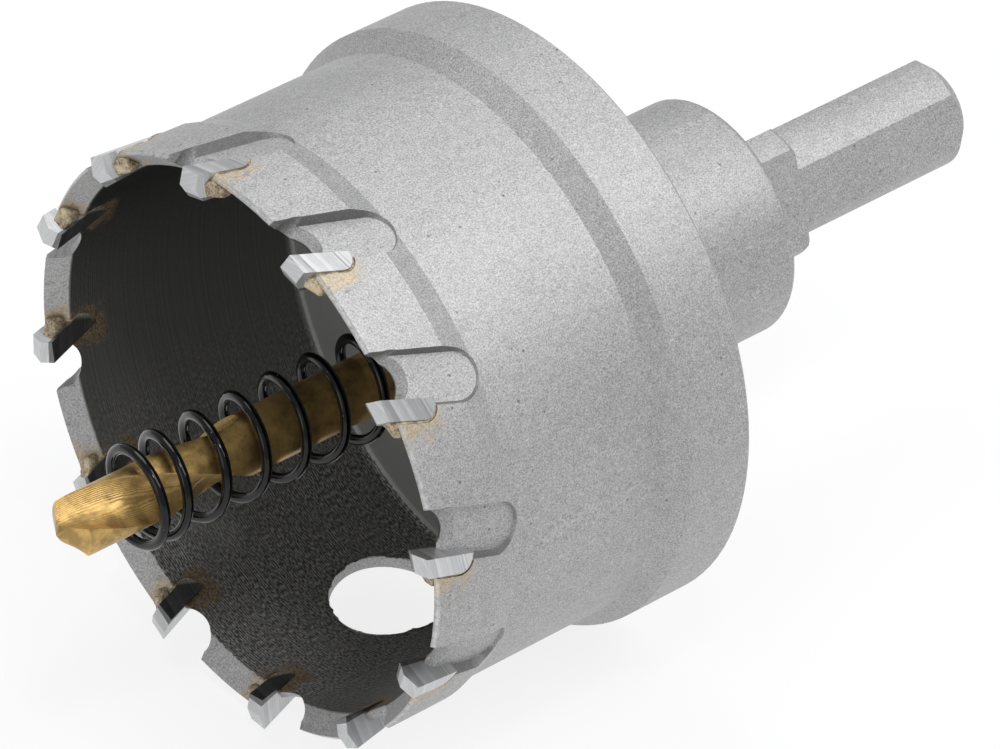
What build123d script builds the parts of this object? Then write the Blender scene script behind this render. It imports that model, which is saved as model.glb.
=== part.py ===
from build123d import *
import math
import os

os.makedirs("parts", exist_ok=True)

# Hole saw lying on its side: a turned steel cup with twelve brazed carbide tips,
# a pilot drill held by a grub screw, and an ejector spring round the drill.
# Lengths are in millimetres. Stations are measured along the tool's axis from the
# plane of the cup's rim, positive towards the shank; turns are degrees from
# straight up, clockwise as seen from the mouth of the cup.

# cup and tooth ring
CUT_R = 32.0            # cutting circle: the holes it cuts are 64 across
TIP_PROUD = 0.5         # how far the tips stand outside the tooth ring
RING_STEP = 0.8         # step from the ring down to the thinner wall behind it
WALL = 1.4              # thickness of that wall
RING_R = CUT_R - TIP_PROUD
BODY_R = RING_R - RING_STEP
BORE_R = BODY_R - WALL
RIM_BEVEL = 2.0         # depth of the bevel on the inside of the rim
RIM_CHAMFER = 0.4       # small chamfer on the outside of the rim
RING_END = 7.9          # where the ring's rear chamfer begins
RING_CHAMFER = 2.8      # length of that chamfer
FLOOR_Z = 30.2          # inside floor of the cup
FLOOR_FILLET = 1.0      # corner radius between wall and floor

# stop flange, hub, collar and shank
FLANGE_STEP = 1.8       # height of the flange above the wall
FLANGE_R = BODY_R + FLANGE_STEP
FLANGE_LEAD = 1.15      # front of the flange's cone ahead of the cup's floor
FLANGE_START = FLOOR_Z - FLANGE_LEAD
FLANGE_CONE = 2.3       # length of the cone
FLOOR_THICK = 9.25
FLANGE_END = FLOOR_Z + FLOOR_THICK
FLANGE_EDGE = 0.4
HUB_R = 13.0
HUB_LENGTH = 23.45
HUB_END = FLANGE_END + HUB_LENGTH
HUB_ROUND = 0.8
COLLAR_R = 7.6
COLLAR_LENGTH = 7.8
COLLAR_END = HUB_END + COLLAR_LENGTH
COLLAR_ROUND = 0.7
SHANK_R = 6.0
SHANK_LENGTH = 22.8
SHANK_END = COLLAR_END + SHANK_LENGTH
SHANK_CHAMFER = 1.4     # length of the chamfer on the shank's end
SHANK_END_R = 4.8
FLAT_DIST = 5.15        # axis to each of the three driving flats
FLAT_TURN = 74.75       # direction of the first flat

# tips
TOOTH_COUNT = 12
TOOTH_TURN = 22.25      # direction of the first tip's ridge
TIP_LEAN = 19.0         # lean of each tip, front end leading
TIP_THICK = 2.1
TIP_LEAD = 0.65         # tip's leading face ahead of the tooth line
TIP_TAIL = 4.75         # rear end of the tip, measured along the tip
TIP_TAIL_ROUND = 1.2
TIP_OUT_FRONT = 1.2     # outer corner ahead of the rim
TIP_RIDGE_FRONT = 1.68  # ridge between the two front bevels, ahead of the rim
RIDGE_INSET = 1.8       # ridge in from the cutting circle
TIP_IN_FRONT = 1.0      # inner corner ahead of the rim
TIP_OVERHANG = 0.6      # how far the tips stand inside the bore
TIP_RIDGE_R = CUT_R - RIDGE_INSET
TIP_IN_R = BORE_R - TIP_OVERHANG
TIP_SIDE_RELIEF = 0.25  # how far each side falls away towards the rear
FRONT_CLEAR = 3.0       # clearance behind the front edges, degrees
SIDE_CLEAR = 5.0        # clearance behind the side edges, degrees

# brazing
BRAZE_GAP = 0.3
BEAD_FOOT = 1.5         # reach of the bead along the rim, behind the tip
BEAD_HEIGHT = 1.1       # height of the bead on the tip's back
BEAD_INSET = 0.6        # bead kept back from the ring's outside

# chip pocket on the outside and through gullet, both ahead of each tip
POCKET_LEAD = 2.9       # middle of the pocket ahead of the tooth line, degrees
POCKET_WIDTH = 5.7
POCKET_DEPTH = 1.2
POCKET_REAR = 8.4       # centre of the pocket's round end
POCKET_SHIFT = 1.6      # that centre's distance from the pocket's middle line
POCKET_LEAN = 18.7
POCKET_DRAFT = 20.0
GULLET_R = 2.75
GULLET_LEAD = 2.4       # gullet's centre ahead of the tooth line
GULLET_Z = 0.9
GULLET_TILT = 44.0      # lean of the gullet's wall towards the shank

# side window for pushing cores out
WINDOW_R = 6.35
WINDOW_Z = 20.2
WINDOW_TURN = 181.5

# pilot drill
DRILL_R = 3.175
DRILL_TIP = -22.0
DRILL_POINT = 118.0     # included angle of the point
DRILL_DEPTH = 27.6      # how far the drill's rear end lies behind the cup's floor
DRILL_END = FLOOR_Z + DRILL_DEPTH
WEB = 1.85              # core left between the two flutes at the drill's tip
WEB_GROWTH = 0.05       # thickening of the core per millimetre towards the shank
FLUTE_R = 3.5           # radius of the flutes' section
FLUTE_LEAD = 46.0       # length of one full turn of the flutes
FLUTE_TURN = -10.0      # direction of the first flute at the drill's tip
FLUTE_END = 0.3         # where the flutes have run out
RUN_OUT = 6.0           # length over which they run out
DRILL_FLAT = 0.4        # depth of the flat under the grub screw
DRILL_FLAT_LENGTH = 9.0

# grub screw
SCREW_R = 3.0
SCREW_DEPTH = 20.8      # middle of the screw behind the cup's floor
SCREW_Z = FLOOR_Z + SCREW_DEPTH
SCREW_TURN = 225.5
SCREW_LENGTH = 9.0
SOCKET = 3.0            # across flats
SOCKET_DEPTH = 2.5
SCREW_BEVEL = 0.5

# ejector spring, wound left-handed
WIRE_R = 0.55
COIL_CLEAR = 1.225      # play between the drill and the wire
COIL_R = DRILL_R + COIL_CLEAR + WIRE_R
COIL_PITCH = 4.98
END_PITCH = 1.0         # pitch at the two closed ends
CLOSING = 2.0           # turns over which each end closes up
SPRING_FRONT = -12.95   # middle of the wire at the front end
SPRING_TURN = -115.0    # direction of the front end
SPRING_SINK = 0.2       # wire ground away where the spring bears on the floor
COIL_POINTS = 8         # bends that make up each turn of the path
BEND_SHARE = 0.48       # share of each side of the path that a bend takes up

# where the tool lies: on its flange, axis level and along +X
X0 = -(SHANK_END + DRILL_TIP) / 2
AXIS_H = FLANGE_R
rim = (X0, 0, AXIS_H)
tool_axis = Axis(rim, (1, 0, 0))
profile_plane = Plane(origin=rim, x_dir=(1, 0, 0), z_dir=(0, -1, 0))
cross_plane = Plane(origin=rim, x_dir=(0, 0, 1), z_dir=(1, 0, 0))
crown_plane = Plane(origin=rim, x_dir=(0, -1, 0), z_dir=(0, 0, 1))


def around(radius, station, turn):
    """The point at a radius, station and turn about the tool's axis."""
    a = math.radians(turn)
    return Vector(X0 + station, -radius * math.sin(a), AXIS_H + radius * math.cos(a))


def leaning(angle, along, across):
    """Sideways distance and station of a point on a slanting centre line."""
    a = math.radians(angle)
    return (
        along * math.sin(a) + across * math.cos(a),
        along * math.cos(a) - across * math.sin(a),
    )


def plate_corners(grow):
    """Corners of a tip's outline seen from outside, grown behind and below."""
    return [
        leaning(TIP_LEAN, -8, -TIP_LEAD),
        leaning(TIP_LEAN, -8, TIP_THICK - TIP_LEAD + grow),
        leaning(TIP_LEAN, TIP_TAIL + grow, TIP_THICK - TIP_LEAD + grow),
        leaning(TIP_LEAN, TIP_TAIL + grow, -TIP_LEAD),
    ]


# one carbide tip at the top of the ring
with BuildPart() as tip:
    with BuildSketch(crown_plane.offset(TIP_IN_R - 2)) as tip_outline:
        Polygon(*plate_corners(0), align=None)
        fillet(tip_outline.vertices().sort_by(Axis.X)[-1:], TIP_TAIL_ROUND)
    extrude(amount=CUT_R - TIP_IN_R + 4)

    # outer side and outer front bevel, falling away behind the cutting edge
    with BuildSketch(profile_plane.offset(-1)):
        bevel_z = TIP_RIDGE_FRONT - TIP_OUT_FRONT
        bevel_r = CUT_R - TIP_RIDGE_R
        Polygon(
            (-TIP_OUT_FRONT, CUT_R),
            (-TIP_OUT_FRONT - 3 * bevel_z, CUT_R - 3 * bevel_r),
            (TIP_TAIL + 4, CUT_R - 3 * bevel_r),
            (TIP_TAIL + 4, CUT_R - TIP_SIDE_RELIEF * (TIP_TAIL + 5) / TIP_TAIL),
            align=None,
        )
    front_slope = math.tan(math.radians(FRONT_CLEAR))
    side_slope = math.tan(math.radians(SIDE_CLEAR))
    extrude(amount=9, both=True, dir=(front_slope, -1, -side_slope), mode=Mode.INTERSECT)

    # inner side and inner front bevel
    with BuildSketch(profile_plane.offset(-1)):
        bevel_z = TIP_RIDGE_FRONT - TIP_IN_FRONT
        bevel_r = TIP_RIDGE_R - TIP_IN_R
        Polygon(
            (-TIP_IN_FRONT, TIP_IN_R),
            (-TIP_IN_FRONT - 3 * bevel_z, TIP_IN_R + 3 * bevel_r),
            (TIP_TAIL + 4, TIP_IN_R + 3 * bevel_r),
            (TIP_TAIL + 4, TIP_IN_R + TIP_SIDE_RELIEF * (TIP_TAIL + 5) / TIP_TAIL),
            align=None,
        )
    extrude(amount=9, both=True, dir=(front_slope, -1, side_slope), mode=Mode.INTERSECT)

# seat for the tip, with the brazing gap behind and below it
with BuildPart() as seat:
    with BuildSketch(crown_plane.offset(BORE_R - 4)) as seat_outline:
        Polygon(*plate_corners(BRAZE_GAP), align=None)
        fillet(seat_outline.vertices().sort_by(Axis.X)[-1:], TIP_TAIL_ROUND + BRAZE_GAP)
    extrude(amount=8)

# chip pocket, a slanting slot with sloping sides and a round rear end
with BuildPart() as pocket:
    half = POCKET_WIDTH / 2 - POCKET_DEPTH * math.tan(math.radians(POCKET_DRAFT))
    with BuildSketch(crown_plane.offset(RING_R - POCKET_DEPTH)):
        with Locations((POCKET_SHIFT, POCKET_REAR)):
            Circle(half)
            with Locations(Location((0, 0), -POCKET_LEAN)):
                Rectangle(2 * half, POCKET_REAR + 6, align=(Align.CENTER, Align.MAX))
    extrude(amount=POCKET_DEPTH + 1.5, taper=-POCKET_DRAFT)

# gullet, cut through the wall on a slant
with BuildPart() as gullet:
    with BuildSketch(crown_plane.offset(RING_R - POCKET_DEPTH)):
        with Locations((-GULLET_LEAD, GULLET_Z)):
            Circle(GULLET_R)
    tilt = math.radians(GULLET_TILT)
    extrude(amount=7, both=True, dir=(math.sin(tilt), 0, math.cos(tilt)))

# turned body: ring, wall, floor, flange, hub and shank are one piece of steel
with BuildPart() as body:
    with BuildSketch(profile_plane):
        with BuildLine():
            Polyline(
                (RIM_BEVEL, BORE_R),
                (0, RING_R - RIM_CHAMFER),
                (RIM_CHAMFER, RING_R),
                (RING_END, RING_R),
                (RING_END + RING_CHAMFER, BODY_R),
                (FLANGE_START, BODY_R),
                (FLANGE_START + FLANGE_CONE, FLANGE_R),
                (FLANGE_END - FLANGE_EDGE, FLANGE_R),
                (FLANGE_END, FLANGE_R - FLANGE_EDGE),
                (FLANGE_END, HUB_R),
                (HUB_END - HUB_ROUND, HUB_R),
            )
            hub_edge = JernArc((HUB_END - HUB_ROUND, HUB_R), (1, 0), HUB_ROUND, -90)
            Polyline(
                hub_edge @ 1,
                (HUB_END, COLLAR_R),
                (COLLAR_END - COLLAR_ROUND, COLLAR_R),
            )
            collar_edge = JernArc((COLLAR_END - COLLAR_ROUND, COLLAR_R), (1, 0), COLLAR_ROUND, -90)
            Polyline(
                collar_edge @ 1,
                (COLLAR_END, SHANK_R),
                (SHANK_END - SHANK_CHAMFER, SHANK_R),
                (SHANK_END, SHANK_END_R),
                (SHANK_END, 0),
                (DRILL_END + DRILL_R * 0.6, 0),
                (DRILL_END, DRILL_R),
                (FLOOR_Z, DRILL_R),
                (FLOOR_Z, BORE_R - FLOOR_FILLET),
            )
            corner = JernArc((FLOOR_Z, BORE_R - FLOOR_FILLET), (0, 1), FLOOR_FILLET, 90)
            Line(corner @ 1, (RIM_BEVEL, BORE_R))
        make_face()
    revolve(axis=tool_axis)

    # three driving flats, milled up to the hub
    with BuildSketch(cross_plane.offset(HUB_END)):
        with PolarLocations(FLAT_DIST + 6, 3, start_angle=FLAT_TURN):
            Rectangle(12, 40)
    extrude(amount=SHANK_END - HUB_END + 1, mode=Mode.SUBTRACT)

    # side window
    with BuildSketch(crown_plane) as window:
        with Locations((0, WINDOW_Z)):
            Circle(WINDOW_R)
    window_tool = extrude(window.sketch, amount=BODY_R + 2, mode=Mode.PRIVATE)
    add(window_tool.rotate(tool_axis, WINDOW_TURN), mode=Mode.SUBTRACT)

    # threaded hole for the grub screw, drawn plain
    with BuildSketch(crown_plane) as screw_hole:
        with Locations((0, SCREW_Z)):
            Circle(SCREW_R)
    hole_tool = extrude(screw_hole.sketch, amount=HUB_R + 1, mode=Mode.PRIVATE)
    add(hole_tool.rotate(tool_axis, SCREW_TURN), mode=Mode.SUBTRACT)

    # pockets, gullets and seats round the ring
    for index in range(TOOTH_COUNT):
        turn = TOOTH_TURN + index * 360 / TOOTH_COUNT
        add(pocket.part.rotate(tool_axis, turn - POCKET_LEAD), mode=Mode.SUBTRACT)
        add(gullet.part.rotate(tool_axis, turn), mode=Mode.SUBTRACT)
        add(seat.part.rotate(tool_axis, turn), mode=Mode.SUBTRACT)
body.part.label = "hole_saw_body"
export_step(body.part, "parts/hole_saw_body.step")

# plain ring, used to trim the braze metal to the steel round it
with BuildPart() as ring:
    with BuildSketch(profile_plane):
        Polygon(
            (RIM_BEVEL, BORE_R),
            (0, RING_R - RIM_CHAMFER),
            (RIM_CHAMFER, RING_R),
            (RING_END, RING_R),
            (RING_END, BORE_R),
            align=None,
        )
    revolve(axis=tool_axis)

# braze bead on the rim behind the tip
with BuildPart() as bead:
    with BuildSketch(crown_plane.offset(BORE_R)):
        heel_x, heel_z = leaning(TIP_LEAN, 0, TIP_THICK - TIP_LEAD)
        back_slope = math.tan(math.radians(TIP_LEAN))
        Polygon(
            (heel_x - (heel_z + BEAD_HEIGHT) * back_slope, -BEAD_HEIGHT),
            (heel_x - heel_z * back_slope + BEAD_FOOT * 0.4, -BEAD_HEIGHT * 0.35),
            (heel_x - heel_z * back_slope + BEAD_FOOT, 0.05),
            (heel_x - heel_z * back_slope + BEAD_FOOT, 1.3),
            (heel_x - (heel_z - 1.3) * back_slope, 1.3),
            align=None,
        )
    extrude(amount=RING_R - BORE_R - BEAD_INSET)
    add(ring.part, mode=Mode.SUBTRACT)

# braze metal round the tip: it fills the gap, flush with the steel, and joins the bead
with BuildPart() as seam:
    add(ring.part)
    add(seat.part, mode=Mode.INTERSECT)
    add(pocket.part.rotate(tool_axis, -POCKET_LEAD), mode=Mode.SUBTRACT)
    add(gullet.part, mode=Mode.SUBTRACT)
    add(bead.part)
    add(tip.part, mode=Mode.SUBTRACT)

for index in range(TOOTH_COUNT):
    turn = TOOTH_TURN + index * 360 / TOOTH_COUNT
    with BuildPart() as placed_tip:
        add(tip.part.rotate(tool_axis, turn))
    placed_tip.part.label = "carbide_tip_%02d" % (index + 1)
    export_step(placed_tip.part, "parts/carbide_tip_%02d.step" % (index + 1))
    with BuildPart() as placed_seam:
        add(seam.part.rotate(tool_axis, turn))
    placed_seam.part.label = "braze_seam_%02d" % (index + 1)
    export_step(placed_seam.part, "parts/braze_seam_%02d.step" % (index + 1))

# pilot drill
with BuildPart() as drill:
    point = DRILL_R / math.tan(math.radians(DRILL_POINT / 2))
    with BuildSketch(profile_plane):
        Polygon(
            (DRILL_TIP, 0),
            (DRILL_TIP + point, DRILL_R),
            (DRILL_END, DRILL_R),
            (DRILL_END, 0),
            align=None,
        )
    revolve(axis=tool_axis)

    # two flutes that lift out of the drill at their rear end
    with BuildLine() as flute_path:
        path = []
        flute_start = DRILL_TIP - 4
        flute_span = FLUTE_END - flute_start
        for step in range(25):
            station = flute_start + flute_span * step / 24
            core = (WEB + WEB_GROWTH * (station - DRILL_TIP)) / 2
            lift = max(0, (station - FLUTE_END + RUN_OUT) / RUN_OUT) ** 2 * (DRILL_R - core)
            turn = FLUTE_TURN + (station - DRILL_TIP) * 360 / FLUTE_LEAD
            path.append(around(FLUTE_R + core + lift, station, turn))
        Spline(*path)
    with BuildSketch(Plane(origin=flute_path.line @ 0, z_dir=flute_path.line % 0)) as flute_cut:
        Circle(FLUTE_R)
    flute = sweep(flute_cut.sketch, path=flute_path.line, mode=Mode.PRIVATE)
    add(flute, mode=Mode.SUBTRACT)
    add(flute.rotate(tool_axis, 180), mode=Mode.SUBTRACT)

    # flat for the grub screw
    with BuildSketch(crown_plane.offset(DRILL_R - DRILL_FLAT)) as flat_cut:
        with Locations((0, SCREW_Z)):
            Rectangle(2 * DRILL_R, DRILL_FLAT_LENGTH)
    flat_tool = extrude(flat_cut.sketch, amount=DRILL_R, mode=Mode.PRIVATE)
    add(flat_tool.rotate(tool_axis, SCREW_TURN), mode=Mode.SUBTRACT)
drill.part.label = "pilot_drill"
export_step(drill.part, "parts/pilot_drill.step")

# grub screw with a hexagon socket
with BuildPart() as screw_up:
    with BuildSketch(crown_plane.offset(DRILL_R - DRILL_FLAT)):
        with Locations((0, SCREW_Z)):
            Circle(SCREW_R)
    extrude(amount=SCREW_LENGTH)
    chamfer(screw_up.faces().sort_by(Axis.Z)[-1].edges(), SCREW_BEVEL)
    with BuildSketch(crown_plane.offset(DRILL_R - DRILL_FLAT + SCREW_LENGTH)):
        with Locations((0, SCREW_Z)):
            RegularPolygon(SOCKET / 2, 6, major_radius=False)
    extrude(amount=-SOCKET_DEPTH, mode=Mode.SUBTRACT)
with BuildPart() as screw:
    add(screw_up.part.rotate(tool_axis, SCREW_TURN))
screw.part.label = "grub_screw"
export_step(screw.part, "parts/grub_screw.step")

# ejector spring: closed at both ends, the rear end ground flat on the cup's floor
rear = FLOOR_Z - WIRE_R + SPRING_SINK
rise = COIL_PITCH - END_PITCH
open_turns = (rear - SPRING_FRONT - CLOSING * (COIL_PITCH + END_PITCH)) / COIL_PITCH
total_turns = open_turns + 2 * CLOSING


def on_coil(n, radius):
    """The spring's point after n turns: slow at first, steady, then slow again."""
    opening = min(n / CLOSING, 1)
    steady = min(max(n - CLOSING, 0), open_turns)
    ending = max(n - CLOSING - open_turns, 0) / CLOSING
    station = SPRING_FRONT + END_PITCH * n + rise * steady
    station += rise * CLOSING * (opening**3 - opening**4 / 2)
    station += rise * CLOSING * (ending - ending**3 + ending**4 / 2)
    return around(radius, station, SPRING_TURN - 360 * n)


with BuildPart() as spring:
    bends = round(total_turns * COIL_POINTS)
    stride = total_turns / bends
    corner_r = COIL_R / math.cos(math.pi * stride)
    corners = [on_coil(stride * (k + 0.5), corner_r) for k in range(bends)]
    corners = [on_coil(0, COIL_R), *corners, on_coil(total_turns, COIL_R)]
    side = (corners[2] - corners[1]).length
    radii = [
        BEND_SHARE * side / math.tan(math.radians((b - a).get_angle(c - b)) / 2)
        for a, b, c in zip(corners, corners[1:], corners[2:])
    ]
    with BuildLine() as wire_path:
        FilletPolyline(*corners, radius=radii)
    with BuildSketch(Plane(origin=wire_path.wire() @ 0, z_dir=wire_path.wire() % 0)):
        Circle(WIRE_R)
    sweep(path=wire_path.wire())
    with BuildSketch(cross_plane.offset(FLOOR_Z)):
        Circle(COIL_R + 2)
    extrude(amount=2, mode=Mode.SUBTRACT)
spring.part.label = "ejector_spring"
export_step(spring.part, "parts/ejector_spring.step")
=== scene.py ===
"""Finishes, braze metal, burr, floor, light and camera for the hole saw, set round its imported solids."""

import math
import random

import bmesh
import bpy
from bpy.props import FloatProperty, FloatVectorProperty, IntProperty, PointerProperty
from mathutils import Matrix, Vector, noise


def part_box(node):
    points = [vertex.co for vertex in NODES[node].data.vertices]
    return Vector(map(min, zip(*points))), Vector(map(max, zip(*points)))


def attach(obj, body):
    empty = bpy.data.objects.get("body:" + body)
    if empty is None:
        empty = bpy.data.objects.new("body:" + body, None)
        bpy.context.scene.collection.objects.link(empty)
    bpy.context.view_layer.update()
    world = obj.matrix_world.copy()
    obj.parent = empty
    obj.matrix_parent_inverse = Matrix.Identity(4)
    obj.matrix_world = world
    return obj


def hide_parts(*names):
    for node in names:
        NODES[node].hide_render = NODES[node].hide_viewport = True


bl_info = {
    "name": "Hole Saw Finish",
    "version": (1, 0, 0),
    "blender": (4, 5, 0),
    "location": "View3D > Sidebar > Hole Saw",
    "description": "Gives a carbide-tipped hole saw its metal finishes and a small studio",
    "category": "Object",
}

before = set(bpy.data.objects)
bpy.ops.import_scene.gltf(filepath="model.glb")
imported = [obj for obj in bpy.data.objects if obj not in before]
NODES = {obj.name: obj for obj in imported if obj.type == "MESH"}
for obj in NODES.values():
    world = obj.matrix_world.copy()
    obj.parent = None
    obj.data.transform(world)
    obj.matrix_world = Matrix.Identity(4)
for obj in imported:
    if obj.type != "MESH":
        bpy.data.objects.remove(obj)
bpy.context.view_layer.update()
BODY_LOW, BODY_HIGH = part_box("hole_saw_body")
AXIS_HEIGHT = (BODY_LOW[2] + BODY_HIGH[2]) / 2
MOUTH_X = BODY_LOW[0]
TIPS = sorted(name for name in NODES if name.startswith("carbide_tip_"))
SEAMS = sorted(name for name in NODES if name.startswith("braze_seam_"))
MM = 0.001
FULL_TURN = 2 * math.pi


def turn_of(node):
    """How far round the tool's axis a node sits, from straight up towards -Y."""
    low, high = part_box(node)
    return math.atan2(-(low[1] + high[1]) / 2, (low[2] + high[2]) / 2 - AXIS_HEIGHT)


FIRST_TOOTH = turn_of(TIPS[0])
TOOTH_STEP = FULL_TURN / len(TIPS)


# ---- places, in metres
# Each is a pair: where a finish, or a painted light or shade, is not there yet, and where it is full. A
# station runs from the mouth, a radius from the tool's axis, and an arc from the middle of the nearest
# tooth.

FLUX_BEHIND_ARC = (0.0039, 0.0028)
FLUX_AHEAD_ARC = (-0.0019, -0.0012)
RIM_FLUX_ARC = (0.0004, 0.0008)
RIM_FLUX_STATION = (0.0052, 0.0036)
BORE_FLUX_ARC = (0.003, 0.002)
BORE_FLUX_STATION = (0.0065, 0.0057)
# where the painted shade on the pocket walls goes
POCKET_RADIUS = (0.0265, 0.0275)
POCKET_STATION = (0.0165, 0.0155)
# where the painted highlight on the mouth's lips goes
INNER_LIP_RADIUS = (0.0299, 0.0296)
OUTER_LIP_RADIUS = (0.0311, 0.0313)
LIP_STATION = (0.0005, 0.0002)
SOOT_STATION = (0.006, 0.002)
BORE_WALL_RADIUS = (0.0288, 0.0291)
CUP_RADIUS = (0.02945, 0.02935)
CUP_FLOOR_STATION = (0.0312, 0.0309)
CUP_MOUTH_STATION = (0.00005, 0.0003)
# where the painted shade on the tips' inner faces goes
TIP_SHADE_RADIUS = (0.0293, 0.02925)
FLUTE_RADIUS = (0.00308, 0.00296)
# where the drill's rear part begins, which gets painted light and a little less grime
DRILL_REAR_STATION = (0.004, 0.012)

# ---- widths of what the finishes are made of, in metres

STEEL_CLOUD = 0.014
STEEL_PIT = 0.0017
FLUX_EDGE, FLUX_EDGE_REACH = 0.0013, 0.0011
FLUX_GRAIN = 0.00026
SOOT_PATCH = 0.0011
BORE_CLOUD = 0.012
GLINT_PATCH = 0.0009
CARBIDE_CLOUD = 0.002
BRAZE_GRAIN, BRAZE_PATCH, BRAZE_HOLE = 0.00024, 0.0016, 0.0006
RIDGE_WANDER, RIDGE_WANDER_REACH = 0.0012, 0.00008
RIDGE_WEAR = 0.0018
DRILL_LINES = 0.00022
DRILL_SMUDGE, DRILL_GRIME = 0.0026, 0.0022
WIRE_SCUFF, WIRE_SCUFF_PATCH = 0.0008, 0.004
WIRE_DUST, WIRE_GLOSS, WIRE_RIPPLE = 0.0011, 0.0012, 0.0005
SCREW_RUB, SCREW_GRAIN = 0.0012, 0.0002
BURR_GRAIN = 0.0003
FLOOR_CLOUD = 0.3

# ---- patterns and tints

NOISE_LOW, NOISE_HIGH = 0.3, 0.7  # noise seldom leaves this band
SPOT_CORE = 0.4  # the full middle of a spot, as a part of its reach
COARSE_GRAIN = 6  # width of the coarse blast marks, in grains
DASH_STRETCH, DASHES_ROUND = 1.5, 60.0  # dashes in a turning pitch, and in a radian round the bore
GLINTS_ALONG, GLINTS_ROUND, GLINTS_OUT = 3800, 70.0, 1500  # in a metre, a radian and a metre
# where the painted shade on the bore's wall is darkest
BORE_SHADE_TURN = 0.25  # the bore's darkest line, in radians from straight up
BORE_FLUX_TINT = (0.62, 0.54, 0.42)
GRIND_SLANT = -0.2  # how far the grinding lines run along the axis in a unit of arc
WHITE = (1.0, 1.0, 1.0)

# ---- shaping of the new pieces

BURR_SIDES, BURR_STEPS = 8, 240
BURR_THICK = 0.11 * MM  # radius of the round section that the burr starts from
BURR_BITE = 0.05 * MM  # how far the burr's root reaches into the wall
SPLIT_LENGTH = 0.45 * MM  # longer edges of a fillet are split
SPLIT_ROUNDS, SMOOTH_ROUNDS = 5, 5
LUMP_WIDTH = 0.9 * MM
FILLET_SWELL = 1.3  # the even part of a fillet's swell, in lump heights
FRONT_FLATTEN = 0.4  # how much of the bead ahead of the mouth is pressed back

# ---- studio

FLOOR_HALF_WIDTH = 4.0
FLOOR_SEEN = 0.82  # how much of the floor is plain white to the camera
AIR_COLOUR, AIR_STRENGTH = (0.93, 0.94, 0.96), 0.5
LAMPS = (  # name, place, width in metres, watts
    ("key_softbox", (0.25, -0.42, 0.75), 0.65, 4.35),
    ("top_softbox", (0.05, 0.35, 0.8), 0.6, 3.0),
    ("mouth_softbox", (-0.75, -0.1, 0.3), 0.45, 0.7),
    ("spark_lamp", (-0.2, -0.35, 0.85), 0.09, 0.9),
)
CAMERA_PLACE = (MOUTH_X - 0.3598, -0.47179, 0.47631)
CAMERA_AIM = (0.5169, 0.61895, -0.59138)
CAMERA_LENS, CAMERA_SENSOR = 270.0, 36.0  # millimetres
CAMERA_NEAR = 0.01


# ---- shader helpers


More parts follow.
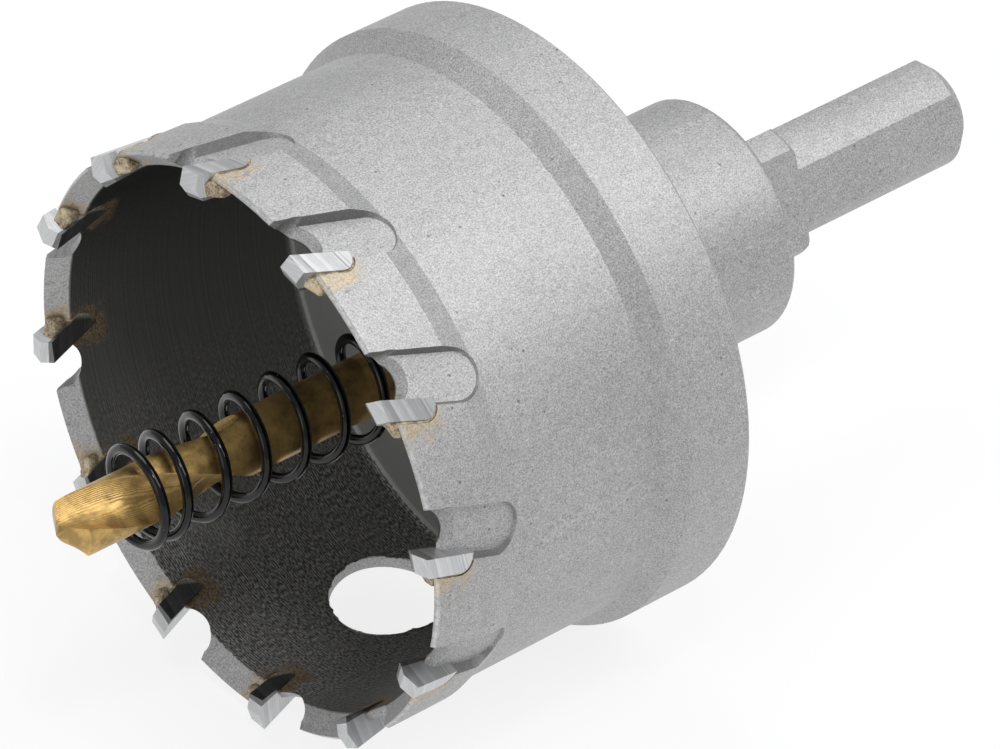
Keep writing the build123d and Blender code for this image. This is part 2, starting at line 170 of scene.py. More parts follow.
class Shader:
    """A material under construction: adds nodes and joins them up."""

    def __init__(self, name):
        self.material = bpy.data.materials.new(name)
        self.material.use_nodes = True
        self.tree = self.material.node_tree
        self.tree.nodes.clear()
        self.output = self.add("ShaderNodeOutputMaterial")
        self.surface = self.add("ShaderNodeBsdfPrincipled")
        self.tree.links.new(self.surface.outputs["BSDF"], self.output.inputs["Surface"])
        self.place = self.add("ShaderNodeTexCoord").outputs["Object"]

    def add(self, kind, **settings):
        node = self.tree.nodes.new(kind)
        for key, value in settings.items():
            setattr(node, key, value)
        return node

    def put(self, node, name, value):
        """Links an output to a socket, or sets a number or a colour of three values on it."""
        socket = node.inputs[name]
        if isinstance(value, bpy.types.NodeSocket):
            self.tree.links.new(value, socket)
        elif socket.type == "RGBA":
            socket.default_value = (*value, 1.0)
        else:
            socket.default_value = value

    def finish(self, **values):
        """Sets the surface's sockets, named with underscores for spaces."""
        for name, value in values.items():
            self.put(self.surface, name.replace("_", " "), value)
        return self.material

    def math(self, operation, a, b=0.0):
        node = self.add("ShaderNodeMath", operation=operation)
        self.put(node, 0, a)
        self.put(node, 1, b)
        return node.outputs[0]

    def times(self, *values):
        result = values[0]
        for value in values[1:]:
            result = self.math("MULTIPLY", result, value)
        return result

    def less(self, value):
        """What is left of 1 after a value."""
        return self.math("SUBTRACT", 1.0, value)

    def vector(self, x, y, z):
        node = self.add("ShaderNodeCombineXYZ")
        for name, value in zip("XYZ", (x, y, z)):
            self.put(node, name, value)
        return node.outputs[0]

    def noise(self, size, detail=3.0, rough=0.55, vector=None):
        """Noise whose features are about size metres across."""
        node = self.add("ShaderNodeTexNoise")
        self.put(node, "Vector", vector or self.place)
        self.put(node, "Scale", 1 / size)
        self.put(node, "Detail", detail)
        self.put(node, "Roughness", rough)
        return node.outputs["Fac"]

    def streaks(self, value, size, detail=2.0):
        """Noise along one measure only, which draws parallel lines about size metres apart."""
        node = self.add("ShaderNodeTexNoise", noise_dimensions="1D")
        self.put(node, "W", value)
        self.put(node, "Scale", 1 / size)
        self.put(node, "Detail", detail)
        self.put(node, "Roughness", 0.6)
        return node.outputs["Fac"]

    def cells(self, vector, scale):
        """Distance from the nearest of some scattered points."""
        node = self.add("ShaderNodeTexVoronoi", feature="F1")
        self.put(node, "Vector", vector)
        self.put(node, "Scale", scale)
        return node.outputs["Distance"]

    def spots(self, size, reach):
        """1 in the middle of spots about size metres apart, 0 from reach, a part of that size."""
        return self.span(self.cells(self.place, 1 / size), reach, reach * SPOT_CORE)

    def span(self, value, low, high, to_low=0.0, to_high=1.0):
        node = self.add("ShaderNodeMapRange", clamp=True)
        self.put(node, "Value", value)
        self.put(node, "From Min", low)
        self.put(node, "From Max", high)
        self.put(node, "To Min", to_low)
        self.put(node, "To Max", to_high)
        return node.outputs["Result"]

    def vary(self, pattern, low, high):
        """Stretches a noise over the whole way from low to high."""
        return self.span(pattern, NOISE_LOW, NOISE_HIGH, low, high)

    def blend(self, factor, under, over, way="MIX"):
        """Lays a colour over another, both outputs or colours of three values."""
        node = self.add("ShaderNodeMix", data_type="RGBA", blend_type=way)
        self.put(node, 0, factor)
        self.put(node, 6, under)
        self.put(node, 7, over)
        return node.outputs[2]

    def tint(self, colour, level):
        """A colour made lighter or darker by a level, or tinted by another colour."""
        return self.blend(1.0, colour, level, "MULTIPLY")

    def mix(self, factor, a, b):
        node = self.add("ShaderNodeMix", data_type="FLOAT")
        self.put(node, 0, factor)
        self.put(node, 2, a)
        self.put(node, 3, b)
        return node.outputs[0]

    def bump(self, height, depth, strength, below=None):
        node = self.add("ShaderNodeBump")
        self.put(node, "Height", height)
        self.put(node, "Distance", depth)
        self.put(node, "Strength", strength)
        if below is not None:
            self.put(node, "Normal", below)
        return node.outputs["Normal"]

    def split(self, vector):
        parts = self.add("ShaderNodeSeparateXYZ")
        self.put(parts, "Vector", vector)
        return parts.outputs

    def round_axis(self):
        """(station from the mouth, distance from the axis, turn round it from straight up)."""
        x, y, z = self.split(self.place)
        up = self.math("SUBTRACT", z, AXIS_HEIGHT)
        radius = self.math("SQRT", self.math("ADD", self.times(up, up), self.times(y, y)))
        turn = self.math("ARCTAN2", self.times(y, -1.0), up)
        return self.math("SUBTRACT", x, MOUTH_X), radius, turn

    def end_on(self):
        """How far the surface faces along the tool's axis, 0 to 1."""
        facing = self.split(self.add("ShaderNodeTexCoord").outputs["Normal"])
        return self.math("ABSOLUTE", facing[0])

    def side_on(self, turn):
        """How far the surface faces round the tool's axis, 0 to 1."""
        _, y, z = self.split(self.add("ShaderNodeTexCoord").outputs["Normal"])
        sideways = self.times(y, self.math("COSINE", turn))
        upright = self.times(z, self.math("SINE", turn))
        return self.math("ABSOLUTE", self.math("ADD", sideways, upright))

    def tooth_arc(self, radius, turn):
        """Arc length from the middle of the nearest tooth, in metres, growing with the turn."""
        steps = self.math("DIVIDE", self.math("SUBTRACT", turn, FIRST_TOOTH), TOOTH_STEP)
        part = self.math("SUBTRACT", self.math("FRACT", self.math("ADD", steps, 0.5)), 0.5)
        return self.times(part, TOOTH_STEP, radius)


def dress(names, material):
    """Gives CAD nodes a material, in their own slots."""
    for name in names:
        node = NODES[name]
        if node.material_slots:
            for slot in node.material_slots:
                slot.material = material
        else:
            node.data.materials.append(material)


def add_piece(name, mesh_builder, material):
    """A new piece at the origin from a finished bmesh, riding on the tool."""
    mesh = bpy.data.meshes.new(name)
    mesh_builder.to_mesh(mesh)
    mesh_builder.free()
    for face in mesh.polygons:
        face.use_smooth = True
    mesh.materials.append(material)
    piece = bpy.data.objects.new(name, mesh)
    bpy.context.scene.collection.objects.link(piece)
    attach(piece, "root")
    return piece


# ---- finishes


class BodySteel(Shader):
    """Bead-blasted steel outside, dark turned steel in the cup, tan flux beside the tips."""

    def __init__(self, sizes, colours):
        super().__init__("blasted_steel")
        self.sizes = sizes
        self.colours = colours
        self.station, self.radius, self.turn = self.round_axis()
        self.grain = self.noise(sizes.grain, 3, 0.7)
        self.coarse = self.noise(sizes.grain * COARSE_GRAIN, 3, 0.6)
        self.pits = self.times(self.spots(STEEL_PIT, 0.13), self.span(self.coarse, 0.48, 0.6))

        arc = self.tooth_arc(self.radius, self.turn)
        ragged = self.vary(self.noise(FLUX_EDGE, 4, 0.65), -FLUX_EDGE_REACH, FLUX_EDGE_REACH)
        self.edge = self.math("ADD", arc, ragged)
        self.beside_tip = self.times(
            self.span(self.edge, *FLUX_BEHIND_ARC), self.span(self.edge, *FLUX_AHEAD_ARC)
        )
        flux_grain = self.span(self.noise(FLUX_GRAIN, 4, 0.75), 0.42, 0.56)
        self.flux = self.blend(flux_grain, colours.flux, colours.flux_stain)

        self.on_wall = self.span(self.radius, *BORE_WALL_RADIUS)
        # painted light and shade: how far a place on the cup's wall faces up, from the turn where the
        # painted shade is darkest
        self.upright = self.math("COSINE", self.math("SUBTRACT", self.turn, BORE_SHADE_TURN))
        # the lower part of the cup's wall, where the painted glints and the painted light on the turned
        # marks go
        self.low_down = self.times(
            self.span(self.upright, -0.5, -0.95), self.span(self.noise(BORE_CLOUD, 2), 0.3, 0.55, 0.5, 1.0)
        )

    def blasted(self):
        """The plain outside: fine grain, faint clouds and dark pits."""
        level = self.times(
            self.vary(self.grain, 0.52, 1.46),
            self.vary(self.coarse, 0.94, 1.06),
            self.vary(self.noise(STEEL_CLOUD, 2, 0.5), 0.96, 1.03),
            self.less(self.times(self.pits, 0.55)),
        )
        return self.tint(self.colours.steel, level)

    def outside(self):
        """The outside with flux on the rim, painted shade on the pocket walls, a painted highlight on the
        lips, and soot.
        """
        on_rim = self.times(
            self.beside_tip,
            self.span(self.edge, *RIM_FLUX_ARC),
            self.span(self.station, *RIM_FLUX_STATION),
            0.8,
        )
        colour = self.blend(on_rim, self.blasted(), self.blend(0.35, self.flux, self.colours.braze_bright))
        # painted shade: pocket walls that face round the axis are drawn darker, towards the bore colour
        pocket_shade = self.times(
            self.span(self.side_on(self.turn), 0.6, 0.9),
            self.span(self.radius, *POCKET_RADIUS),
            self.span(self.station, *POCKET_STATION),
            0.62,
        )
        colour = self.blend(pocket_shade, colour, self.colours.bore)
        lips = self.math(
            "MAXIMUM",
            self.span(self.radius, *INNER_LIP_RADIUS),
            self.span(self.radius, *OUTER_LIP_RADIUS),
        )
        # painted highlight: a bright line along the inner and outer lips of the mouth
        worn = self.times(
            self.span(self.station, *LIP_STATION), lips, self.span(self.coarse, 0.4, 0.6, 0.4, 1.0), 0.6
        )
        colour = self.blend(worn, colour, self.colours.lip_highlight)
        soot = self.times(
            self.span(self.noise(SOOT_PATCH, 4, 0.7), 0.6, 0.7), self.span(self.station, *SOOT_STATION), 0.5
        )
        return self.blend(soot, colour, self.colours.bore)

    def turning(self):
        """The tool marks in the cup: dashed threads on its wall, rings on its floor."""
        pitch = self.sizes.turning_pitch
        spread = self.vector(
            self.times(self.station, DASH_STRETCH / pitch), self.times(self.turn, DASHES_ROUND), 0.0
        )
        thread = self.math("SINE", self.times(self.station, FULL_TURN / pitch))
        dashes = self.math("ADD", self.noise(1.0, 1, 0.5, spread), self.times(thread, 0.09))
        return self.mix(self.on_wall, self.streaks(self.radius, pitch), dashes)

    def inside(self, weave):
        """The dark cup: turned lines, a lighter floor, painted light and shade on its wall by height, and
        painted glints and flux on its wall.
        """
        lines = self.streaks(self.station, self.sizes.turning_pitch)
        marks = self.span(weave, 0.42, 0.66, 0.45, 2.3)
        floor_light = 3.2
        # painted light and shade: the cup's wall is drawn darker towards its top and lighter towards its
        # bottom
        wall_light = self.span(self.upright, 0.3, -0.85, 0.27, 1.6)
        level = self.times(
            self.vary(lines, 0.86, 1.16),
            # painted light: the turned marks are drawn bright only on the lower wall
            self.mix(self.times(self.on_wall, self.low_down), 1.0, marks),
            self.mix(self.on_wall, floor_light, wall_light),
        )
        colour = self.tint(self.colours.bore, level)
        spread = self.vector(
            self.times(self.station, GLINTS_ALONG),
            self.times(self.turn, GLINTS_ROUND),
            self.times(self.radius, GLINTS_OUT),
        )
        # painted glints: bright steel specks on the lower wall
        glints = self.times(
            self.span(self.cells(spread, 1.0), 0.34, 0.14),
            self.span(self.noise(GLINT_PATCH, 3, 0.7), 0.49, 0.57),
            self.low_down,
            self.on_wall,
            0.8,
        )
        colour = self.blend(glints, colour, self.colours.steel)
        run_in = self.times(
            self.beside_tip,
            self.span(self.edge, *BORE_FLUX_ARC),
            self.span(self.station, *BORE_FLUX_STATION),
            0.85,
        )
        return self.blend(run_in, colour, self.tint(self.flux, BORE_FLUX_TINT))

    def build(self):
        in_cup = self.times(
            self.span(self.radius, *CUP_RADIUS),
            self.span(self.station, *CUP_FLOOR_STATION),
            self.span(self.station, *CUP_MOUTH_STATION),
        )
        weave = self.turning()
        blast = self.bump(self.times(self.grain, self.less(in_cup)), 0.00006, 0.55)
        turned = self.bump(self.times(weave, in_cup), 0.00006, 0.7, blast)
        return self.finish(
            Base_Color=self.blend(in_cup, self.outside(), self.inside(weave)),
            Metallic=self.mix(in_cup, 0.9, 0.4),
            Roughness=self.mix(in_cup, self.vary(self.grain, 0.52, 0.68), self.vary(weave, 0.38, 0.52)),
            Normal=self.bump(self.less(self.pits), 0.00008, 0.5, turned),
        )


def ground_carbide(sizes, colours):
    """Smooth grey carbide with the fine slanted lines of the grinding wheel, and painted shade on its faces
    in the bore.
    """
    s = Shader("ground_carbide")
    station, radius, turn = s.round_axis()
    across = s.math("ADD", station, s.times(s.tooth_arc(radius, turn), GRIND_SLANT))
    lines = s.streaks(across, sizes.grind_pitch, 3)
    broad = s.streaks(across, sizes.grind_pitch * 4, 1)
    level = s.times(
        s.span(lines, 0.35, 0.68, 0.9, 1.2),
        s.span(broad, 0.35, 0.65, 0.92, 1.15),
        s.vary(s.noise(CARBIDE_CLOUD, 3, 0.6), 0.94, 1.04),
        # painted shade: faces inside the bore's radius are drawn darker, down to 0.3
        s.span(radius, *TIP_SHADE_RADIUS, 1.0, 0.3),
    )
    return s.finish(
        Base_Color=s.tint(colours.carbide, level),
        Metallic=0.92,
        Roughness=s.vary(broad, 0.28, 0.42),
        Normal=s.bump(lines, 0.00003, 0.5),
    )


def braze_metal(colours):
    """Grainy tan braze: bright grains, brown flux between them and small dark holes."""
    s = Shader("braze_metal")
    grain = s.noise(BRAZE_GRAIN, 4, 0.75)
    patch = s.noise(BRAZE_PATCH, 3, 0.6)
    holes = s.times(s.spots(BRAZE_HOLE, 0.2), s.span(patch, 0.4, 0.52))
    colour = s.blend(s.span(grain, 0.4, 0.56), colours.flux, colours.braze)
    colour = s.blend(s.times(s.span(patch, 0.5, 0.66), 0.6), colour, colours.braze_bright)
    colour = s.blend(s.times(holes, 0.85), colour, colours.bore)
    bumps = s.bump(grain, 0.00012, 0.7)
    return s.finish(
        Base_Color=colour,
        Metallic=0.5,
        Roughness=s.vary(grain, 0.7, 0.42),
        Normal=s.bump(s.less(holes), 0.0001, 0.6, bumps),
    )


def gold_coating(sizes, colours):
    """Gold-coloured nitride over ground steel: fine ridges along the flutes, dark smudges, and painted
    light on its rear part.
    """
    s = Shader("gold_coating")
    station, radius, _ = s.round_axis()
    in_flute = s.times(s.span(radius, *FLUTE_RADIUS), s.span(s.end_on(), 0.5, 0.35))
    wander = s.vary(s.noise(RIDGE_WANDER, 2), 0.0, RIDGE_WANDER_REACH)
    ridges = s.math("SINE", s.times(s.math("ADD", radius, wander), FULL_TURN / sizes.flute_pitch))
    worn = s.span(s.noise(RIDGE_WEAR, 3, 0.6), 0.35, 0.6, 0.25, 1.0)
    fine = s.math("ADD", 0.5, s.times(ridges, worn, 0.5))
    round_lines = s.streaks(station, DRILL_LINES, 3)
    smudge = s.noise(DRILL_SMUDGE, 4, 0.65)
    rear = s.span(station, *DRILL_REAR_STATION)
    # painted light: the drill's rear, deep in the cup, is drawn up to 1.3 times lighter
    level = s.times(
        s.mix(in_flute, s.vary(round_lines, 0.92, 1.05), s.span(fine, 0.0, 1.0, 0.62, 1.12)),
        s.span(smudge, 0.38, 0.6, 0.58, 1.12),
        s.mix(rear, 1.0, 1.3),
    )
    grime = s.times(s.span(s.noise(DRILL_GRIME, 5, 0.7), 0.6, 0.72), s.mix(rear, 0.5, 0.4))
    rough = s.mix(in_flute, s.vary(smudge, 0.28, 0.4), 0.46)
    cut = s.bump(fine, 0.00004, s.times(in_flute, 0.8))
    return s.finish(
        Base_Color=s.blend(grime, s.tint(colours.gold, level), colours.grime),
        Metallic=0.82,
        Roughness=s.math("ADD", rough, s.times(grime, 0.25)),
        Normal=s.bump(round_lines, 0.00001, 0.35, cut),
    )


def black_wire(colours):
    """Glossy black spring wire with a little dust and light scuffs."""
    s = Shader("black_wire")
    scuff = s.times(
        s.span(s.noise(WIRE_SCUFF, 4, 0.7), 0.6, 0.7), s.span(s.noise(WIRE_SCUFF_PATCH, 2), 0.45, 0.6)
    )
    colour = s.blend(s.times(scuff, 0.35), colours.wire, colours.wire_scuff)
    colour = s.blend(s.times(s.spots(WIRE_DUST, 0.07), 0.5), colour, colours.steel)
    return s.finish(
        Base_Color=colour,
        Metallic=0.0,
        Specular_IOR_Level=0.24,
        Roughness=s.math("ADD", s.vary(s.noise(WIRE_GLOSS, 3), 0.1, 0.17), s.times(scuff, 0.25)),
        Coat_Weight=0.15,
        Coat_Roughness=0.08,
        Normal=s.bump(s.noise(WIRE_RIPPLE, 2), 0.00001, 0.3),
    )


def blackened_steel(colours):
    """Black oxide on the grub screw, rubbed bright in places."""
    s = Shader("blackened_steel")
    rub = s.times(s.span(s.noise(SCREW_RUB, 4, 0.7), 0.56, 0.68), 0.6)
    grain = s.noise(SCREW_GRAIN, 3, 0.6)
    return s.finish(
        Base_Color=s.blend(rub, s.tint(colours.screw, s.vary(grain, 0.75, 1.3)), colours.steel),
        Metallic=0.8,
        Roughness=s.vary(grain, 0.3, 0.48),
        Normal=s.bump(grain, 0.00003, 0.4),
    )


def burr_steel(colours):
    """Torn steel of the burr, bright and dark in fine patches."""
    s = Shader("burr_steel")
    grain = s.noise(BURR_GRAIN, 4, 0.7)
    return s.finish(
        Base_Color=s.blend(s.span(grain, 0.4, 0.65), colours.bore, colours.steel),
        Metallic=0.9,
        Roughness=s.vary(grain, 0.3, 0.5),
        Normal=s.bump(grain, 0.00005, 0.6),
    )


def pale_floor(colours):
    """A matt pale floor that shows nearly white to the camera and keeps the object's shadow."""
    s = Shader("pale_floor")
    tone = s.vary(s.noise(FLOOR_CLOUD, 2), 0.985, 1.0)
    s.finish(Base_Color=s.tint(colours.floor, tone), Roughness=0.9, Specular_IOR_Level=0.1)
    rays = s.add("ShaderNodeLightPath").outputs
    mirrored = s.math("MAXIMUM", rays["Is Glossy Ray"], rays["Is Transmission Ray"])
    seen = s.math("MAXIMUM", rays["Is Camera Ray"], mirrored)
    glow = s.add("ShaderNodeEmission")
    s.put(glow, "Color", WHITE)
    s.put(glow, "Strength", 1.0)
    mix = s.add("ShaderNodeMixShader")
    s.put(mix, 0, s.times(seen, FLOOR_SEEN))
    s.put(mix, 1, s.surface.outputs["BSDF"])
    s.put(mix, 2, glow.outputs[0])
    s.put(s.output, "Surface", mix.outputs[0])
    return s.material


# ---- properties


def colour_property(name, description, default):
    return FloatVectorProperty(
        name=name, description=description, subtype="COLOR", size=3, min=0.0, max=1.0, default=default
    )


def length_property(name, description, default):
    return FloatProperty(
        name=name,
        description=description,
        default=default,
        min=0.0,
        precision=5,
        subtype="DISTANCE",
        unit="LENGTH",
    )


class HoleSawSizes(bpy.types.PropertyGroup):
    """Sizes of the surface detail."""

    grain: length_property("Blast Grain", "Width of one speck of the blasted surface", 0.00017)
    turning_pitch: length_property("Turning Pitch", "Distance between the turned lines in the cup", 0.00026)
    grind_pitch: length_property("Grind Pitch", "Distance between the carbide's grinding lines", 0.00022)
    braze_lump: length_property("Braze Lump", "How far the braze metal swells and sinks", 0.00008)
    flute_pitch: length_property("Flute Pitch", "Distance between the ridges along the flutes", 0.00018)
    burr_height: length_property("Burr Height", "How far the burr stands in from the window", 0.00032)
    window_radius: length_property("Window Radius", "Radius of the chip window in the cup wall", 0.00635)
    window_station: length_property("Window Station", "From the mouth to the window's middle", 0.0202)
    window_turn: FloatProperty(
        name="Window Turn",
        description="Turn of the window from straight down",
        default=math.radians(1.5),
        subtype="ANGLE",
        unit="ROTATION",
    )
    bore_radius: length_property("Bore Radius", "Inner radius of the cup", 0.0293)
    burr_seed: IntProperty(
        name="Burr Seed", description="Picks another ragged outline for the burr", default=4, min=0
    )


class HoleSawColours(bpy.types.PropertyGroup):
    """Colours of the finishes, as linear values."""

    steel: colour_property("Blasted Steel", "Outside of the cup, hub and shank", (0.44, 0.438, 0.438))
    # bore is also the colour of the painted shade on the pocket walls
    bore: colour_property("Bore", "Dark steel inside the cup", (0.1, 0.1, 0.096))
    flux_stain: colour_property("Flux Stain", "Tan flux left beside the teeth", (0.46, 0.385, 0.3))
    # the colour of the painted highlight along the mouth's lips
    lip_highlight: colour_property("Worn Edge", "Bright steel where an edge has rubbed", (0.8, 0.8, 0.8))
    carbide: colour_property("Carbide", "Ground carbide tips", (0.5, 0.505, 0.51))
    braze: colour_property("Braze", "Tan grains of the braze metal", (0.48, 0.39, 0.28))
    braze_bright: colour_property("Bright Braze", "Smooth cream-coloured braze", (0.82, 0.7, 0.48))
    flux: colour_property("Flux", "Brown residue between the grains", (0.16, 0.115, 0.065))
    gold: colour_property("Gold Coating", "Nitride coating of the pilot drill", (0.61, 0.4, 0.145))
    grime: colour_property("Grime", "Dark smudges on the drill", (0.06, 0.04, 0.02))
    wire: colour_property("Spring Wire", "Black spring wire", (0.002, 0.002, 0.0025))
    wire_scuff: colour_property("Wire Scuff", "Scuffed places on the wire", (0.06, 0.06, 0.065))
    screw: colour_property("Grub Screw", "Black oxide", (0.03, 0.03, 0.032))
    floor: colour_property("Floor", "Plain pale floor", (0.86, 0.86, 0.86))


# ---- pieces


class HoleSawStep(bpy.types.Operator):
    """What the steps share: their options and the settings they read."""

    bl_options = {"REGISTER", "UNDO"}

    def sizes(self, context):
        return context.scene.hole_saw_sizes

    def colours(self, context):
        return context.scene.hole_saw_colours


class HOLESAW_OT_body(HoleSawStep):
    """Blasts the steel body outside and darkens it inside"""

    bl_idname = "hole_saw.body"
    bl_label = "Steel Body"

    def execute(self, context):
        dress(["hole_saw_body"], BodySteel(self.sizes(context), self.colours(context)).build())
        return {"FINISHED"}


class HOLESAW_OT_burr(HoleSawStep):
    """Adds the ragged burr round the chip window, on the inside of the cup wall"""

    bl_idname = "hole_saw.burr"
    bl_label = "Window Burr"

    def execute(self, context):
        sizes = self.sizes(context)
        random.seed(sizes.burr_seed)
        offset = Vector([random.uniform(0, 50) for _ in range(3)])
        ring = self.plain_ring(sizes.window_radius)
        middle = Vector((MOUTH_X + sizes.window_station, 0, AXIS_HEIGHT))
        swing = Matrix.Rotation(sizes.window_turn, 3, "X")
        for vert in ring.verts:
            turn = math.atan2(vert.co.y, vert.co.x)
            flat = Vector((math.cos(turn), math.sin(turn), 0))
            ragged = noise.fractal(flat * 4 + offset, 0.8, 2.2, 4)
            reach = max(0.0, ragged) * sizes.burr_height * 1.6
            inward = sizes.window_radius - vert.co.to_2d().length
            stretched = inward * (0.5 + reach / BURR_THICK * 0.5)
            spot = flat * (sizes.window_radius + BURR_BITE - stretched - reach * 0.4)
            depth = math.sqrt(sizes.bore_radius**2 - spot.y**2)
            vert.co = middle + swing @ Vector((spot.x, spot.y, vert.co.z * 0.9 - depth))
        add_piece("window_burr", ring, burr_steel(self.colours(context)))
        return {"FINISHED"}

    def plain_ring(self, radius):
        """An even ring of round section about the origin, lying across Z."""
        ring = bmesh.new()
        section = Matrix.Translation((radius, 0, 0)) @ Matrix.Rotation(math.pi / 2, 4, "X")
        wire = bmesh.ops.create_circle(ring, segments=BURR_SIDES, radius=BURR_THICK, matrix=section)
        bmesh.ops.spin(
            ring,
            geom=wire["verts"] + ring.edges[:],
            cent=(0, 0, 0),
            axis=(0, 0, 1),
            angle=FULL_TURN,
            steps=BURR_STEPS,
            use_merge=True,
            use_normal_flip=False,
            use_duplicate=False,
        )
        bmesh.ops.remove_doubles(ring, verts=ring.verts[:], dist=1e-7)
        bmesh.ops.recalc_face_normals(ring, faces=ring.faces[:])
        return ring


class HOLESAW_OT_tips(HoleSawStep):
    """Gives the carbide tips their ground finish"""

    bl_idname = "hole_saw.tips"
    bl_label = "Carbide Tips"

    def execute(self, context):
        dress(TIPS, ground_carbide(self.sizes(context), self.colours(context)))
        return {"FINISHED"}


class HOLESAW_OT_braze(HoleSawStep):
    """Turns each braze seam into a lumpy, grainy fillet of metal"""

    bl_idname = "hole_saw.braze"
    bl_label = "Braze Metal"

    def execute(self, context):
        lump = self.sizes(context).braze_lump
        metal = braze_metal(self.colours(context))
        for name in SEAMS:
            fillet = self.fine_copy(name)
            for vert in fillet.verts:
                swell = noise.fractal(vert.co / LUMP_WIDTH, 0.9, 2.1, 3)
                vert.co += vert.normal * lump * (FILLET_SWELL + swell)
                vert.co.x += max(0.0, MOUTH_X - vert.co.x) * FRONT_FLATTEN
            piece = add_piece(name.replace("seam", "fillet"), fillet, metal)
            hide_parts(name)
        return {"FINISHED"}

    def fine_copy(self, name):
        """A finely split and smoothed copy of a seam."""
        fillet = bmesh.new()
        fillet.from_mesh(NODES[name].data)
        bmesh.ops.remove_doubles(fillet, verts=fillet.verts[:], dist=1e-6)
        for _ in range(SPLIT_ROUNDS):
            long_edges = [edge for edge in fillet.edges if edge.calc_length() > SPLIT_LENGTH]
            if not long_edges:
                break
            bmesh.ops.subdivide_edges(fillet, edges=long_edges, cuts=1, use_grid_fill=True)
            bmesh.ops.triangulate(fillet, faces=[face for face in fillet.faces if len(face.verts) > 3])
        for _ in range(SMOOTH_ROUNDS):
            bmesh.ops.smooth_vert(
                fillet, verts=fillet.verts[:], factor=0.5, use_axis_x=True, use_axis_y=True, use_axis_z=True
            )
        fillet.normal_update()
        return fillet


class HOLESAW_OT_drill(HoleSawStep):
    """Coats the pilot drill"""

    bl_idname = "hole_saw.drill"
    bl_label = "Pilot Drill"

    def execute(self, context):
        dress(["pilot_drill"], gold_coating(self.sizes(context), self.colours(context)))
        return {"FINISHED"}


class HOLESAW_OT_spring(HoleSawStep):
    """Blackens the ejector spring"""

    bl_idname = "hole_saw.spring"
    bl_label = "Ejector Spring"

    def execute(self, context):
        dress(["ejector_spring"], black_wire(self.colours(context)))
        return {"FINISHED"}


class HOLESAW_OT_screw(HoleSawStep):
    """Blackens the grub screw"""

    bl_idname = "hole_saw.screw"
    bl_label = "Grub Screw"

    def execute(self, context):
        dress(["grub_screw"], blackened_steel(self.colours(context)))
        return {"FINISHED"}


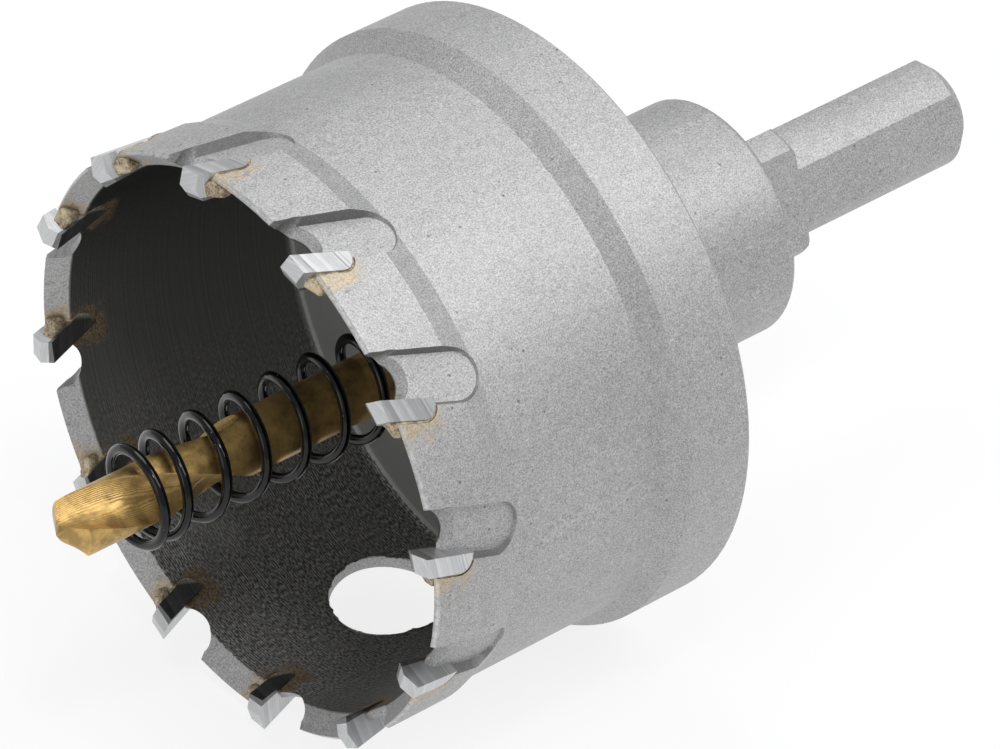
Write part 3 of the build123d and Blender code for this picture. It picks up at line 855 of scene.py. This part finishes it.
class HOLESAW_OT_studio(HoleSawStep):
    """Sets the floor, the soft lamps, the pale surroundings and the camera"""

    bl_idname = "hole_saw.studio"
    bl_label = "Studio"

    def execute(self, context):
        self.add_floor(context.scene, self.colours(context))
        self.add_air(context.scene)
        for name, place, width, power in LAMPS:
            self.add_lamp(context.scene, name, place, width, power)
        self.add_camera(context.scene)
        context.scene.view_settings.view_transform = "Standard"
        return {"FINISHED"}

    def add_floor(self, scene, colours):
        sheet = bmesh.new()
        bmesh.ops.create_grid(sheet, x_segments=4, y_segments=4, size=FLOOR_HALF_WIDTH)
        mesh = bpy.data.meshes.new("studio_floor")
        sheet.to_mesh(mesh)
        sheet.free()
        mesh.materials.append(pale_floor(colours))
        floor = bpy.data.objects.new("studio_floor", mesh)
        scene.collection.objects.link(floor)

    def add_air(self, scene):
        """Soft light from all round, which the camera sees as plain white."""
        world = bpy.data.worlds.new("studio_air")
        scene.world = world
        world.use_nodes = True
        nodes, links = world.node_tree.nodes, world.node_tree.links
        nodes.clear()
        rays = nodes.new("ShaderNodeLightPath")
        mix = nodes.new("ShaderNodeMixShader")
        links.new(rays.outputs["Is Camera Ray"], mix.inputs[0])
        for socket, colour, strength in ((1, AIR_COLOUR, AIR_STRENGTH), (2, WHITE, 1.0)):
            sky = nodes.new("ShaderNodeBackground")
            sky.inputs["Color"].default_value = (*colour, 1.0)
            sky.inputs["Strength"].default_value = strength
            links.new(sky.outputs[0], mix.inputs[socket])
        out = nodes.new("ShaderNodeOutputWorld")
        links.new(mix.outputs[0], out.inputs["Surface"])

    def add_lamp(self, scene, name, place, width, power):
        light = bpy.data.lights.new(name, "AREA")
        light.shape = "DISK"
        light.size = width
        light.energy = power
        lamp = bpy.data.objects.new(name, light)
        aim = Vector((0, 0, AXIS_HEIGHT)) - Vector(place)
        lamp.matrix_world = Matrix.Translation(place) @ aim.to_track_quat("-Z", "Y").to_matrix().to_4x4()
        scene.collection.objects.link(lamp)

    def add_camera(self, scene):
        lens = bpy.data.cameras.new("camera")
        lens.sensor_width = CAMERA_SENSOR
        lens.lens = CAMERA_LENS
        lens.clip_start = CAMERA_NEAR
        camera = bpy.data.objects.new("camera", lens)
        forward = Vector(CAMERA_AIM).normalized()
        right = forward.cross(Vector((0, 0, 1))).normalized()
        up = right.cross(forward)
        facing = Matrix((right, up, -forward)).transposed().to_4x4()
        camera.matrix_world = Matrix.Translation(CAMERA_PLACE) @ facing
        scene.collection.objects.link(camera)
        scene.camera = camera


STEPS = (
    HOLESAW_OT_body,
    HOLESAW_OT_burr,
    HOLESAW_OT_tips,
    HOLESAW_OT_braze,
    HOLESAW_OT_drill,
    HOLESAW_OT_spring,
    HOLESAW_OT_screw,
    HOLESAW_OT_studio,
)


class HOLESAW_PT_panel(bpy.types.Panel):
    """Lists the hole saw's steps and settings."""

    bl_idname = "HOLESAW_PT_panel"
    bl_label = "Hole Saw"
    bl_space_type = "VIEW_3D"
    bl_region_type = "UI"
    bl_category = "Hole Saw"

    def draw(self, context):
        layout = self.layout
        for group in (context.scene.hole_saw_sizes, context.scene.hole_saw_colours):
            box = layout.box()
            for name in group.__annotations__:
                box.prop(group, name)
        for step in STEPS:
            layout.operator(step.bl_idname)


CLASSES = (HoleSawSizes, HoleSawColours, *STEPS, HOLESAW_PT_panel)


def register():
    for item in CLASSES:
        bpy.utils.register_class(item)
    bpy.types.Scene.hole_saw_sizes = PointerProperty(type=HoleSawSizes)
    bpy.types.Scene.hole_saw_colours = PointerProperty(type=HoleSawColours)


def unregister():
    del bpy.types.Scene.hole_saw_colours
    del bpy.types.Scene.hole_saw_sizes
    for item in reversed(CLASSES):
        bpy.utils.unregister_class(item)


def main():
    register()
    bpy.ops.hole_saw.body()
    bpy.ops.hole_saw.burr()
    bpy.ops.hole_saw.tips()
    bpy.ops.hole_saw.braze()
    bpy.ops.hole_saw.drill()
    bpy.ops.hole_saw.spring()
    bpy.ops.hole_saw.screw()
    bpy.ops.hole_saw.studio()


if __name__ == "__main__":
    main()
